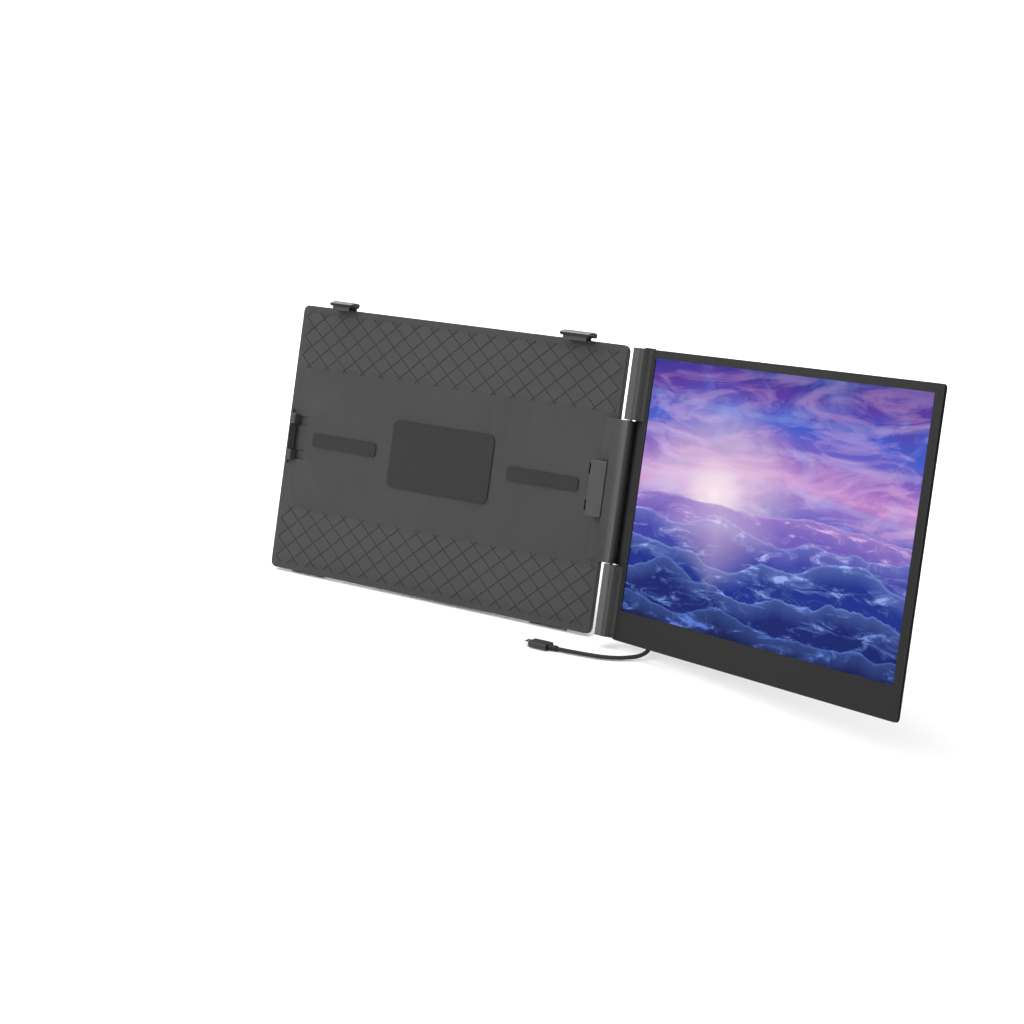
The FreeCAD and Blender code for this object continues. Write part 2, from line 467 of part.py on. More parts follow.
for i, (s, w) in enumerate(BTN):
    cap = box(HU1 - 2.2, HU1 + 0.7 + 0.2, PORT_M - 1.3, PORT_M + 1.3, s - w / 2 + 0.3, s + w / 2 - 0.3)
    fl = box(HU1 - 3.0, HU1 - WALL - 0.25, PORT_M - 2.0, PORT_M + 2.0, s - w / 2 - 0.9, s + w / 2 + 0.9)
    put(("power_button", "menu_button")[i], fuse(cap, fl), PL_M)
put("button_switches", Part.makeCompound([box(HU1 - 9.0, HU1 - 3.0 - BTN_TRAVEL - 0.15, PORT_M - 1.6, PORT_M + 1.6, s - 2, s + 2) for s, w in BTN]), PL_M)
put("indicator_light_pipe", rod_x(PORT_M, 68.5, 0.85, HU1 - 6.0, HU1 + 0.1), PL_M)

# ---------------------------------------------------------------- cable
# plug at the monitor: metal tip in the socket, then the moulded body, then the relief
PU = PORTS[0]
tip = pill(PU, PORT_M, 1.15, 2.9, HS0 - 0.6, HS0 + 7.2).cut(box(PU - 2.9, PU + 2.9, PORT_M - 0.75, PORT_M + 0.75, HS0 + 0.9, HS0 + 7.4))
put("cable_tip_monitor", tip, PL_M)
body = box(PU - 5.6, PU + 5.6, PORT_M - 2.9, PORT_M + 2.9, HS0 - 18.6, HS0 - 0.6)
body = body.makeFillet(1.5, [e for e in body.Edges if abs((e.Vertexes[1].Point - e.Vertexes[0].Point).z) > 10])
put("cable_plug_monitor", body, PL_M)
cone = Part.makeCone(2.8, 2.2, 9.0, V(PU, -PORT_M, HS0 - 18.6), V(0, 0, -1))
cone = cone.cut(Part.makeCylinder(CORD_D / 2, 9.5, V(PU, -PORT_M, HS0 - 18.6), V(0, 0, -1)))
put("cable_relief_monitor", cone, PL_M)

# the cord's route in the object's frame (mm), from the monitor's plug to the far one
Z_T = TABLE_Z - (BASE_H + OS * math.cos(math.radians(LEAN)) + ON * math.sin(math.radians(LEAN))) + CORD_D / 2 + 0.25
p_start = PL_M.multVec(V(PU, -PORT_M, HS0 - 18.6))
p_dir = PL_M.Rotation.multVec(V(0, 0, -1))
q = p_start + p_dir * 14.0
ROUTE = [(p_start.x, p_start.y, p_start.z), (q.x, q.y, q.z)]
ROUTE += [
    (271.0, -54.8, -105.3),
    (264.5, -58.8, -113.6),
    (253.0, -66.8, Z_T),
    (239.5, -73.0, Z_T),
    (223.5, -75.6, Z_T),
    (208.0, -76.6, Z_T),
    (193.0, -77.7, Z_T),
    (179.4, -77.6, Z_T),
]
print("cord route (object frame, mm):")
for p in ROUTE:
    print("   (%.2f, %.2f, %.2f)," % p)


def tube(route, d):
    P = [V(*p) for p in route]
    runs = [(P[i + 1] - P[i]).Length for i in range(len(P) - 1)]
    edges, cur, length = [], P[0], 0.0
    radii = []
    for i in range(1, len(P) - 1):
        a = (P[i - 1] - P[i]).normalize()
        c = (P[i + 1] - P[i]).normalize()
        turn = math.pi - math.acos(max(-1, min(1, a.dot(c))))
        t = 0.45 * min(runs[i - 1], runs[i])
        r = t / math.tan(turn / 2)
        radii.append((round(math.degrees(turn), 1), round(r, 1)))
        A, C = P[i] + a * t, P[i] + c * t
        bis = (a + c).normalize()
        cen = P[i] + bis * (r / math.cos(turn / 2))
        M = cen - bis * r
        edges.append(Part.LineSegment(cur, A).toShape())
        edges.append(Part.Arc(A, M, C).toShape())
        cur = C
    edges.append(Part.LineSegment(cur, P[-1]).toShape())
    w = Part.Wire(edges)
    d0 = (P[1] - P[0]).normalize()
    prof = Part.Wire([Part.makeCircle(d / 2, P[0], d0)])
    t = w.makePipeShell([prof], True, False)
    print("runs", [round(x, 1) for x in runs])
    print("turn, radius", radii)
    print("cord length %.1f mm, volume %.1f, section x length %.1f" % (w.Length, t.Volume, math.pi * d * d / 4 * w.Length))
    return t


cord = tube(ROUTE, CORD_D)
put("cable", cord)

# far-end plug, lying on the surface
e0, e1 = V(*ROUTE[-2]), V(*ROUTE[-1])
dr = (e1 - e0).normalize()
ang = math.degrees(math.atan2(dr.y, dr.x))
PL_P = FreeCAD.Placement(e1, FreeCAD.Rotation(V(0, 0, 1), ang))
relief = Part.makeCone(2.2, 2.6, 9.0, V(-9.0, 0, 0), V(1, 0, 0))
relief = relief.fuse([Part.makeCylinder(2.75, 1.3, V(-3.4, 0, 0), V(1, 0, 0)), Part.makeCylinder(2.6, 1.2, V(-7.4, 0, 0), V(1, 0, 0))]).removeSplitter()
relief = relief.cut(Part.makeCylinder(CORD_D / 2, 10.5, V(-9.6, 0, 0), V(1, 0, 0)))
# flattened where it lies on the surface
relief = relief.cut(Part.makeBox(12.0, 8.0, 3.0, V(-10.0, -4.0, -(CORD_D / 2 + 0.22) - 3.0)))
PB_H = 5.0
body = Part.makeBox(19.0, 10.4, PB_H, V(0, -5.2, -(CORD_D / 2 + 0.15)))
body = body.makeFillet(1.5, [e for e in body.Edges if abs((e.Vertexes[1].Point - e.Vertexes[0].Point).x) > 10])
tipz = PB_H / 2 - (CORD_D / 2 + 0.15)
t1 = Part.makeBox(6.6, 6.0, 2.4, V(19.0, -3.0, tipz - 1.2))
t1 = t1.fuse([Part.makeCylinder(1.2, 6.6, V(19.0, -3.0, tipz), V(1, 0, 0)), Part.makeCylinder(1.2, 6.6, V(19.0, 3.0, tipz), V(1, 0, 0))]).removeSplitter()
t1 = t1.cut(Part.makeBox(6.0, 5.8, 1.5, V(20.2, -2.9, tipz - 0.75)))
put("cable_relief_host", relief, PL_P)
put("cable_plug_host", body, PL_P)
put("cable_tip_host", t1, PL_P)

# ---------------------------------------------------------------- sizes for reference
up = R_LEAN.multVec(V(0, 0, 1))
hinge = PL_B.multVec(V(AX, -AN, 0.5 * (KS0 + KS1)))
print("up", tuple(round(c, 6) for c in up), "normal", tuple(round(c, 6) for c in R_LEAN.multVec(V(0, -1, 0))))
print("hinge pos", tuple(round(c, 4) for c in hinge))
print("stand pos", tuple(round(c, 4) for c in PL_B.multVec(V(SX, -ST_N, ST_S))))
print("button axis", tuple(round(c, 6) for c in PL_M.Rotation.multVec(V(-1, 0, 0))))
print("UC, MC", UC, MC)
bb = Part.makeCompound(list(made.values())).BoundBox
print("bbox", bb)
print("nodes", len(made))
for n in ("stand_foot", "bracket_feet", "cable", "cable_plug_host", "bracket_rear_cover"):
    b = made[n].BoundBox
    print(n, "z", round(b.ZMin, 2), round(b.ZMax, 2), "y", round(b.YMin, 1), round(b.YMax, 1))
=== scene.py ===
import math
import bpy
import bmesh
from mathutils import Vector, Matrix


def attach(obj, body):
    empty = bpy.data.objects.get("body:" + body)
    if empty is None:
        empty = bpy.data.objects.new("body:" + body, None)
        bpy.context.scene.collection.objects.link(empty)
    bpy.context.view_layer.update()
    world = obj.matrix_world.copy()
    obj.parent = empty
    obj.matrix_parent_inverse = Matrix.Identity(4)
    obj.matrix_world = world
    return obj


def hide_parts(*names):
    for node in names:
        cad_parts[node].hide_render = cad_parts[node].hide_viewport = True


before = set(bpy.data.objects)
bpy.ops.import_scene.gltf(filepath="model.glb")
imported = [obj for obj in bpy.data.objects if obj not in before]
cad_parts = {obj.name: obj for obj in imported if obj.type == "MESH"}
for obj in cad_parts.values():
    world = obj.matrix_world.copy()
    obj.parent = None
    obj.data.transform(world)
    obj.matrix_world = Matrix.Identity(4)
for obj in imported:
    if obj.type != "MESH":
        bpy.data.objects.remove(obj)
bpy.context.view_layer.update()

# ------------------------------------------------------------------ frames (metres)
LEAN = math.radians(20.02)
TURN = math.radians(19.51)
EX = Vector((1, 0, 0))
UP = Vector((0, math.sin(LEAN), math.cos(LEAN)))
NF = Vector((0, -math.cos(LEAN), math.sin(LEAN)))
E = math.cos(TURN) * EX + math.sin(TURN) * NF
MN = -math.sin(TURN) * EX + math.cos(TURN) * NF
OX, OS, ON = 178.6, 107.35, -6.0


def P(x, s, n):
    """Plate coordinates in mm to the row's frame in metres."""
    return ((x - OX) * EX + (s - OS) * UP + (n - ON) * NF) / 1000


HO = P(389.98, 0, 0)


def M(u, s, m):
    """Monitor coordinates in mm to the row's frame in metres."""
    return HO + (u * E + s * UP + m * MN) / 1000


# level coordinates, in mm
W0 = Vector((OX, 240.38 + OS * math.sin(LEAN) - ON * math.cos(LEAN), 7.97 + OS * math.cos(LEAN) + ON * math.sin(LEAN)))
TABLE = (-10.2 - W0.z) / 1000

# ------------------------------------------------------------------ camera
AZ, EL, ROLL = math.radians(42.92), math.radians(18.13), math.radians(-5.75)
back = Vector((math.sin(AZ) * math.cos(EL), -math.cos(AZ) * math.cos(EL), math.sin(EL)))
fwd = -back
right = fwd.cross(Vector((0, 0, 1))).normalized()
upv = right.cross(fwd)
cr = math.cos(ROLL) * right + math.sin(ROLL) * upv
cu = -math.sin(ROLL) * right + math.cos(ROLL) * upv
target = Vector((521.96, 0, 197.94))
cam_pos = (target + back * 1954.49 - W0) / 1000
cam_data = bpy.data.cameras.new("camera")
cam = bpy.data.objects.new("camera", cam_data)
bpy.context.scene.collection.objects.link(cam)
rot = Matrix((cr, cu, back)).transposed()
cam.matrix_world = Matrix.Translation(cam_pos) @ rot.to_4x4()
cam_data.sensor_width = 36.0
cam_data.sensor_fit = "HORIZONTAL"
cam_data.lens = 2736.45 * 36.0 / 1024.0
cam_data.clip_start = 0.05
cam_data.clip_end = 60.0
bpy.context.scene.camera = cam

# ------------------------------------------------------------------ node helpers


class Mat:
    """A small builder for one node material."""

    def __init__(self, name):
        self.m = bpy.data.materials.new(name)
        self.m.use_nodes = True
        self.t = self.m.node_tree
        self.t.nodes.clear()
        self.out = self.t.nodes.new("ShaderNodeOutputMaterial")
        self.b = self.t.nodes.new("ShaderNodeBsdfPrincipled")
        self.t.links.new(self.b.outputs[0], self.out.inputs[0])

    def n(self, kind, **kw):
        x = self.t.nodes.new(kind)
        for k, v in kw.items():
            setattr(x, k, v)
        return x

    def link(self, a, b):
        self.t.links.new(a, b)

    def coord(self):
        return self.n("ShaderNodeTexCoord").outputs["Object"]

    def mapping(self, src, scale=(1, 1, 1), loc=(0, 0, 0), rot=(0, 0, 0)):
        mp = self.n("ShaderNodeMapping")
        mp.inputs["Scale"].default_value = scale
        mp.inputs["Location"].default_value = loc
        mp.inputs["Rotation"].default_value = rot
        self.link(src, mp.inputs["Vector"])
        return mp.outputs[0]

    def noise(self, src, scale, detail=3.0, rough=0.5, dist=0.0):
        x = self.n("ShaderNodeTexNoise")
        x.inputs["Scale"].default_value = scale
        x.inputs["Detail"].default_value = detail
        x.inputs["Roughness"].default_value = rough
        x.inputs["Distortion"].default_value = dist
        self.link(src, x.inputs["Vector"])
        return x.outputs["Fac"]

    def ramp(self, src, stops, interp="LINEAR"):
        x = self.n("ShaderNodeValToRGB")
        x.color_ramp.interpolation = interp
        els = x.color_ramp.elements
        while len(els) < len(stops):
            els.new(0.5)
        for el, (p, c) in zip(els, stops):
            el.position = p
            el.color = c if len(c) == 4 else (*c, 1.0)
        self.link(src, x.inputs[0])
        return x.outputs[0]

    def math(self, op, a, b=None, c=None, clamp=False):
        x = self.n("ShaderNodeMath", operation=op, use_clamp=clamp)
        for i, v in enumerate((a, b, c)):
            if v is None:
                continue
            if isinstance(v, (int, float)):
                x.inputs[i].default_value = v
            else:
                self.link(v, x.inputs[i])
        return x.outputs[0]

    def mix(self, fac, a, b, mode="MIX"):
        x = self.n("ShaderNodeMix", data_type="RGBA", blend_type=mode)
        if isinstance(fac, (int, float)):
            x.inputs[0].default_value = fac
        else:
            self.link(fac, x.inputs[0])
        for i, v in ((6, a), (7, b)):
            if isinstance(v, tuple):
                x.inputs[i].default_value = (*v, 1.0) if len(v) == 3 else v
            else:
                self.link(v, x.inputs[i])
        return x.outputs[2]

    def bump(self, height, strength, distance):
        x = self.n("ShaderNodeBump")
        x.inputs["Strength"].default_value = strength
        x.inputs["Distance"].default_value = distance
        self.link(height, x.inputs["Height"])
        self.link(x.outputs[0], self.b.inputs["Normal"])


def grey(v):
    return (v, v, v)


def moulded(name, col, rough=0.5, grain=2600.0, depth=0.00002, var=0.10, spec=0.5, tint=(1.0, 1.0, 1.0), wear=0.35):
    """Moulded plastic: fine grain, slow colour drift and slightly polished, lighter edges."""
    q = Mat(name)
    co = q.coord()
    big = q.noise(co, 9.0, 3.0, 0.55)
    fine = q.noise(co, grain, 2.0, 0.6)
    c0 = tuple(col * (1 - var) * k for k in tint)
    c1 = tuple(col * (1 + var) * k for k in tint)
    base = q.mix(big, c0, c1)
    speck = q.ramp(fine, [(0.35, grey(0.86)), (0.7, grey(1.08))])
    base = q.mix(0.8, base, speck, "MULTIPLY")
    # worn, lighter edges
    geo = q.n("ShaderNodeNewGeometry")
    edge = q.ramp(geo.outputs["Pointiness"], [(0.50, grey(0.0)), (0.56, grey(1.0))])
    light = tuple(min(1.0, col * 1.7 * k) for k in tint)
    base = q.mix(q.math("MULTIPLY", edge, wear), base, light)
    q.link(base, q.b.inputs["Base Color"])
    q.link(q.ramp(big, [(0.3, grey(rough - 0.05)), (0.7, grey(rough + 0.06))]), q.b.inputs["Roughness"])
    q.b.inputs["Specular IOR Level"].default_value = spec
    q.bump(fine, 0.35, depth)
    return q.m


def painted_light_along_axis(name, origin, axis, stops, rough=0.4, grain=3000.0, depth=0.00001, spec=0.4, var=0.08, tint=(1.0, 1.0, 1.0)):
    """Moulded plastic with painted light and shade: its tone changes along one direction, given in mm from an origin.
    """
    q = Mat(name)
    co = q.coord()
    big = q.noise(co, 9.0, 3.0, 0.55)
    fine = q.noise(co, grain, 2.0, 0.6)
    lo, hi = stops[0][0], stops[-1][0]
    shift = q.n("ShaderNodeVectorMath", operation="SUBTRACT")
    q.link(co, shift.inputs[0])
    shift.inputs[1].default_value = tuple(origin)
    dot = q.n("ShaderNodeVectorMath", operation="DOT_PRODUCT")
    q.link(shift.outputs[0], dot.inputs[0])
    dot.inputs[1].default_value = tuple(axis)
    pos = q.math("DIVIDE", q.math("SUBTRACT", q.math("MULTIPLY", dot.outputs["Value"], 1000.0), lo), hi - lo, clamp=True)
    base = q.ramp(pos, [((p - lo) / (hi - lo), tuple(v * k for k in tint)) for p, v in stops])
    base = q.mix(1.0, base, q.mix(big, grey(1 - var), grey(1 + var)), "MULTIPLY")
    base = q.mix(0.8, base, q.ramp(fine, [(0.35, grey(0.86)), (0.7, grey(1.08))]), "MULTIPLY")
    q.link(base, q.b.inputs["Base Color"])
    q.link(q.ramp(big, [(0.3, grey(rough - 0.05)), (0.7, grey(rough + 0.06))]), q.b.inputs["Roughness"])
    q.b.inputs["Specular IOR Level"].default_value = spec
    q.bump(fine, 0.35, depth)
    return q.m


def top_claw_material():
    """Painted light and shade: the upward bevelled top painted light as lit, the front and ends painted dark as shade,
    and a mid-grey lip below the head.
    """
    q = Mat("top_claw_painted_light")
    tc = q.n("ShaderNodeTexCoord")
    co = tc.outputs["Object"]
    big = q.noise(co, 12.0, 3.0, 0.55)
    fine = q.noise(co, 2600.0, 2.0, 0.6)
    dot = q.n("ShaderNodeVectorMath", operation="DOT_PRODUCT")
    q.link(tc.outputs["Normal"], dot.inputs[0])
    dot.inputs[1].default_value = tuple(UP)
    # painted light and shade: faces turned upward painted light, the rest painted dark as shade
    base = q.mix(q.ramp(dot.outputs["Value"], [(0.22, grey(0.0)), (0.42, grey(1.0))]), grey(0.014), q.mix(big, grey(0.072), grey(0.088)))
    shift = q.n("ShaderNodeVectorMath", operation="SUBTRACT")
    q.link(co, shift.inputs[0])
    shift.inputs[1].default_value = tuple(P(0, 0, 0))
    hgt = q.n("ShaderNodeVectorMath", operation="DOT_PRODUCT")
    q.link(shift.outputs[0], hgt.inputs[0])
    hgt.inputs[1].default_value = tuple(UP)
    below = q.math("LESS_THAN", hgt.outputs["Value"], 0.23085)
    base = q.mix(below, base, grey(0.050))
    base = q.mix(0.8, base, q.ramp(fine, [(0.35, grey(0.86)), (0.7, grey(1.08))]), "MULTIPLY")
    q.link(base, q.b.inputs["Base Color"])
    q.link(q.ramp(big, [(0.3, grey(0.36)), (0.7, grey(0.46))]), q.b.inputs["Roughness"])
    q.b.inputs["Specular IOR Level"].default_value = 0.25
    q.bump(fine, 0.35, 0.00002)
    return q.m


def rubber(name, col=0.02, rough=0.75):
    q = Mat(name)
    co = q.coord()
    f = q.noise(co, 1800.0, 3.0, 0.6)
    s = q.noise(co, 40.0, 3.0, 0.6)
    base = q.mix(s, grey(col * 0.8), grey(col * 1.35))
    q.link(base, q.b.inputs["Base Color"])
    q.link(q.ramp(s, [(0.3, grey(rough - 0.08)), (0.7, grey(rough + 0.08))]), q.b.inputs["Roughness"])
    q.b.inputs["Specular IOR Level"].default_value = 0.16
    q.bump(f, 0.4, 0.00003)
    return q.m


def metal(name, col=(0.55, 0.55, 0.56), rough=0.32, brushed=(1, 1, 14)):
    q = Mat(name)
    co = q.coord()
    st = q.noise(q.mapping(co, brushed), 900.0, 2.0, 0.5)
    base = q.mix(st, tuple(c * 0.86 for c in col), tuple(min(1, c * 1.1) for c in col))
    q.link(base, q.b.inputs["Base Color"])
    q.b.inputs["Metallic"].default_value = 1.0
    q.link(q.ramp(st, [(0.3, grey(rough - 0.07)), (0.7, grey(rough + 0.1))]), q.b.inputs["Roughness"])
    q.bump(st, 0.25, 0.000015)
    return q.m


def clear_plastic(name, col=(0.8, 0.84, 0.86), rough=0.25):
    q = Mat(name)
    co = q.coord()
    d = q.noise(co, 700.0, 2.0, 0.5)
    q.link(q.mix(d, tuple(c * 0.92 for c in col), col), q.b.inputs["Base Color"])
    q.link(q.ramp(d, [(0.3, grey(rough)), (0.7, grey(rough + 0.1))]), q.b.inputs["Roughness"])
    q.b.inputs["Coat Weight"].default_value = 0.3
    return q.m


def board(name):
    q = Mat(name)
    co = q.coord()
    b = q.n("ShaderNodeTexBrick")
    b.inputs["Scale"].default_value = 420.0
    b.inputs["Color1"].default_value = (0.012, 0.10, 0.045, 1)
    b.inputs["Color2"].default_value = (0.010, 0.075, 0.035, 1)
    b.inputs["Mortar"].default_value = (0.05, 0.2, 0.09, 1)
    q.link(co, b.inputs["Vector"])
    q.link(b.outputs["Color"], q.b.inputs["Base Color"])
    q.b.inputs["Roughness"].default_value = 0.35
    return q.m


# ------------------------------------------------------------------ the screen's picture: soft bands of light over rolling hills
def screen_material():
    q = Mat("display_lit")
    # picture coordinates: a across the width, b up the height, both 0..1
    at = q.n("ShaderNodeTexCoord").outputs["UV"]
    sep = q.n("ShaderNodeSeparateXYZ")
    q.link(at, sep.inputs[0])
    a, b = sep.outputs[0], sep.outputs[1]
    # drifting noise that bends every layer
    n1 = q.noise(at, 2.2, 4.0, 0.55, 0.6)
    n2 = q.noise(q.mapping(at, (1, 1, 1), (3.1, 1.7, 0)), 5.5, 5.0, 0.6, 0.9)
    n3 = q.noise(q.mapping(at, (1.0, 2.6, 1.0), (7.3, 4.1, 0)), 3.4, 6.0, 0.62, 1.4)
    bb = q.math("ADD", b, q.math("MULTIPLY", q.math("SUBTRACT", n1, 0.5), 0.34))
    # sky: deep blue at the bottom edge of the sky, violet and rose above, blue at the top
    sky = q.ramp(bb, [(0.30, (0.020, 0.05, 0.36)), (0.46, (0.11, 0.12, 0.55)), (0.58, (0.52, 0.24, 0.60)), (0.68, (0.24, 0.12, 0.52)), (0.80, (0.045, 0.10, 0.58)), (0.93, (0.10, 0.035, 0.34)), (1.0, (0.03, 0.03, 0.30))])
    # streaks of pale and rose cloud
    st = q.ramp(n3, [(0.46, grey(0.0)), (0.60, grey(0.75)), (0.74, grey(1.0))])
    up_mask = q.ramp(b, [(0.38, grey(0.0)), (0.52, grey(1.0)), (0.90, grey(0.55)), (1.0, grey(0.35))])
    sky = q.mix(q.math("MULTIPLY", q.math("MULTIPLY", st, up_mask), 0.55), sky, (0.86, 0.52, 0.80))
    st2 = q.ramp(n2, [(0.52, grey(0.0)), (0.72, grey(1.0))])
    sky = q.mix(q.math("MULTIPLY", q.math("MULTIPLY", st2, up_mask), 0.45), sky, (0.34, 0.52, 1.0))
    # low sun: a warm glow off to the left
    dx = q.math("SUBTRACT", a, 0.30)
    dy = q.math("MULTIPLY", q.math("SUBTRACT", b, 0.52), 0.85)
    r = q.math("SQRT", q.math("ADD", q.math("MULTIPLY", dx, dx), q.math("MULTIPLY", dy, dy)))
    glow = q.ramp(r, [(0.0, grey(1.0)), (0.045, grey(0.80)), (0.14, grey(0.34)), (0.36, grey(0.0))], "EASE")
    sky = q.mix(glow, sky, (1.0, 0.80, 0.86))
    # arcs of light across the sky
    wave = q.n("ShaderNodeTexWave", wave_type="BANDS", bands_direction="Y")
    wave.inputs["Scale"].default_value = 1.3
    wave.inputs["Distortion"].default_value = 5.5
    wave.inputs["Detail"].default_value = 3.0
    wave.inputs["Detail Scale"].default_value = 1.1
    q.link(q.mapping(at, (0.9, 1.6, 1.0), (0.4, 0.2, 0)), wave.inputs["Vector"])
    arc = q.ramp(wave.outputs["Fac"], [(0.86, grey(0.0)), (0.97, grey(1.0))])
    sky = q.mix(q.math("MULTIPLY", q.math("MULTIPLY", arc, up_mask), 0.14), sky, (0.62, 0.70, 1.0))

    col = sky
    # rolling layers of dunes, far to near, each with lit rims
    layers = [
        (0.475, 0.045, 2.3, 0.0, (0.16, 0.11, 0.50), (0.80, 0.50, 0.86)),
        (0.400, 0.060, 2.9, 2.3, (0.045, 0.055, 0.38), (0.50, 0.50, 0.98)),
        (0.300, 0.075, 2.3, 5.1, (0.007, 0.026, 0.26), (0.36, 0.50, 1.0)),
        (0.185, 0.085, 3.1, 8.7, (0.003, 0.013, 0.15), (0.22, 0.38, 0.95)),
        (0.070, 0.070, 2.5, 11.9, (0.002, 0.008, 0.09), (0.12, 0.25, 0.80)),
    ]
    for base_h, amp, sc, off, dark, lit in layers:
        line = q.n("ShaderNodeTexNoise", noise_dimensions="1D")
        line.inputs["Scale"].default_value = sc
        line.inputs["Detail"].default_value = 5.0
        line.inputs["Roughness"].default_value = 0.45
        q.link(q.math("ADD", a, off), line.inputs["W"])
        h = q.math("ADD", base_h, q.math("MULTIPLY", q.math("SUBTRACT", line.outputs["Fac"], 0.5), amp * 3.2))
        d = q.math("SUBTRACT", h, b)                      # depth below the layer's crest
        mask = q.math("MULTIPLY", d, 260.0, clamp=True)
        rip = q.n("ShaderNodeTexNoise")
        rip.inputs["Scale"].default_value = 9.0
        rip.inputs["Detail"].default_value = 8.0
        rip.inputs["Roughness"].default_value = 0.66
        rip.inputs["Distortion"].default_value = 0.8
        q.link(q.mapping(at, (1.0, 2.3, 1.0), (off, off * 0.7, 0)), rip.inputs["Vector"])
        ridge = q.ramp(rip.outputs["Fac"], [(0.50, grey(0.0)), (0.58, grey(0.22)), (0.645, grey(0.95)), (0.72, grey(1.0))])
        rim = q.ramp(q.math("MULTIPLY", d, 1.0), [(0.0, grey(1.0)), (0.010, grey(0.34)), (0.075, grey(0.0))])
        lightf = q.math("ADD", q.math("MULTIPLY", ridge, 0.75), q.math("MULTIPLY", rim, 0.55), clamp=True)
        layer = q.mix(lightf, dark, lit)
        col = q.mix(mask, col, layer)
    # warm light spilled low on the hills under the sun
    spill = q.ramp(q.math("ADD", q.math("ABSOLUTE", q.math("SUBTRACT", a, 0.33)), q.math("ABSOLUTE", q.math("SUBTRACT", b, 0.40))), [(0.0, grey(0.42)), (0.26, grey(0.0))])
    col = q.mix(spill, col, (1.0, 0.70, 0.90), "SCREEN")
    q.link(col, q.b.inputs["Emission Color"])
    q.b.inputs["Emission Strength"].default_value = 0.97
    q.b.inputs["Base Color"].default_value = (0.004, 0.004, 0.006, 1)
    q.b.inputs["Roughness"].default_value = 0.42
    q.b.inputs["Specular IOR Level"].default_value = 0.02
    return q.m


# ------------------------------------------------------------------ finishes on the CAD's own nodes
def dress(node, mat):
    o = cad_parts[node]
    if not o.material_slots:
        o.data.materials.append(mat)
    for s in o.material_slots:
        s.material = mat
    return o


G_BRACKET = moulded("bracket_grain", 0.039, 0.52, tint=(1.0, 1.0, 1.01), spec=0.16, wear=0.25)
G_COVER = moulded("cover_grain", 0.040, 0.58, tint=(1.0, 1.0, 1.01), grain=1900.0, depth=0.00003, spec=0.18, wear=0.25)
G_CLAW = moulded("claw_grain", 0.043, 0.42, tint=(0.985, 1.0, 0.99), spec=0.22, wear=0.4)
G_TOPCLAW = top_claw_material()
# spine: painted highlight on the flat front near the barrel, then painted shade darkening towards the bezel
G_SPINE = painted_light_along_axis("spine_satin_painted_light", HO, E, [(0.0, 0.040), (5.0, 0.046), (7.5, 0.036), (10.0, 0.024), (14.5, 0.0145)], rough=0.34, spec=0.42)
# knuckle: painted highlight, a lighter band near the barrel's right end
G_KNUCKLE = painted_light_along_axis("knuckle_satin_painted_highlight", P(0, 0, 0), EX, [(356.0, 0.034), (378.0, 0.030), (383.5, 0.034), (387.0, 0.060), (389.5, 0.060), (391.5, 0.036)], rough=0.36, spec=0.40)


def bezel_material():
    """Matt face, a thin chamfer round it painted lighter as a highlight, and outer sides painted dark as shade."""
    q = Mat("bezel_matt")
    tc = q.n("ShaderNodeTexCoord")
    co = tc.outputs["Object"]
    big = q.noise(co, 8.0, 3.0, 0.55)
    fine = q.noise(co, 3200.0, 2.0, 0.6)
    rise = q.n("ShaderNodeVectorMath", operation="DOT_PRODUCT")
    q.link(co, rise.inputs[0])
    rise.inputs[1].default_value = tuple(UP)
    face = q.mix(big, grey(0.0125), grey(0.0150))
    # face a little lighter towards the top
    face = q.mix(q.ramp(rise.outputs["Value"], [(0.0, grey(0.0)), (0.125, grey(1.0))]), face, grey(0.0195))
    dot = q.n("ShaderNodeVectorMath", operation="DOT_PRODUCT")
    q.link(tc.outputs["Normal"], dot.inputs[0])
    dot.inputs[1].default_value = tuple(MN)
    facing = dot.outputs["Value"]
    # painted highlight: faces turned a little from the front, the chamfer, painted lighter
    base = q.mix(q.ramp(facing, [(0.90, grey(0.0)), (0.97, grey(1.0))]), grey(0.045), face)
    # painted shade: faces turned away from the front, the outer sides, painted near black
    base = q.mix(q.ramp(facing, [(0.45, grey(0.0)), (0.60, grey(1.0))]), grey(0.004), base)
    base = q.mix(0.7, base, q.ramp(fine, [(0.35, grey(0.88)), (0.7, grey(1.06))]), "MULTIPLY")
    q.link(base, q.b.inputs["Base Color"])
    q.link(q.ramp(big, [(0.3, grey(0.56)), (0.7, grey(0.66))]), q.b.inputs["Roughness"])
    q.b.inputs["Specular IOR Level"].default_value = 0.10
    q.bump(fine, 0.3, 0.00001)
    return q.m


def shell_material():
    """Black grained shell, a little greyer in the recess beside the hinge."""
    q = Mat("shell_grain")
    tc = q.n("ShaderNodeTexCoord")
    co = tc.outputs["Object"]
    big = q.noise(co, 10.0, 3.0, 0.55)
    fine = q.noise(co, 1700.0, 2.0, 0.6)
    shift = q.n("ShaderNodeVectorMath", operation="SUBTRACT")
    q.link(co, shift.inputs[0])
    shift.inputs[1].default_value = tuple(HO)
    dot = q.n("ShaderNodeVectorMath", operation="DOT_PRODUCT")
    q.link(shift.outputs[0], dot.inputs[0])
    dot.inputs[1].default_value = tuple(E)
    near = q.math("GREATER_THAN", dot.outputs["Value"], 0.0143)
    black = q.mix(big, (0.0042, 0.0042, 0.0045), (0.0056, 0.0056, 0.0060))
    base = q.mix(near, grey(0.030), black)
    base = q.mix(0.8, base, q.ramp(fine, [(0.35, grey(0.8)), (0.7, grey(1.15))]), "MULTIPLY")
    q.link(base, q.b.inputs["Base Color"])
    q.link(q.ramp(big, [(0.3, grey(0.55)), (0.7, grey(0.66))]), q.b.inputs["Roughness"])
    q.b.inputs["Specular IOR Level"].default_value = 0.12
    q.bump(fine, 0.4, 0.00004)
    return q.m


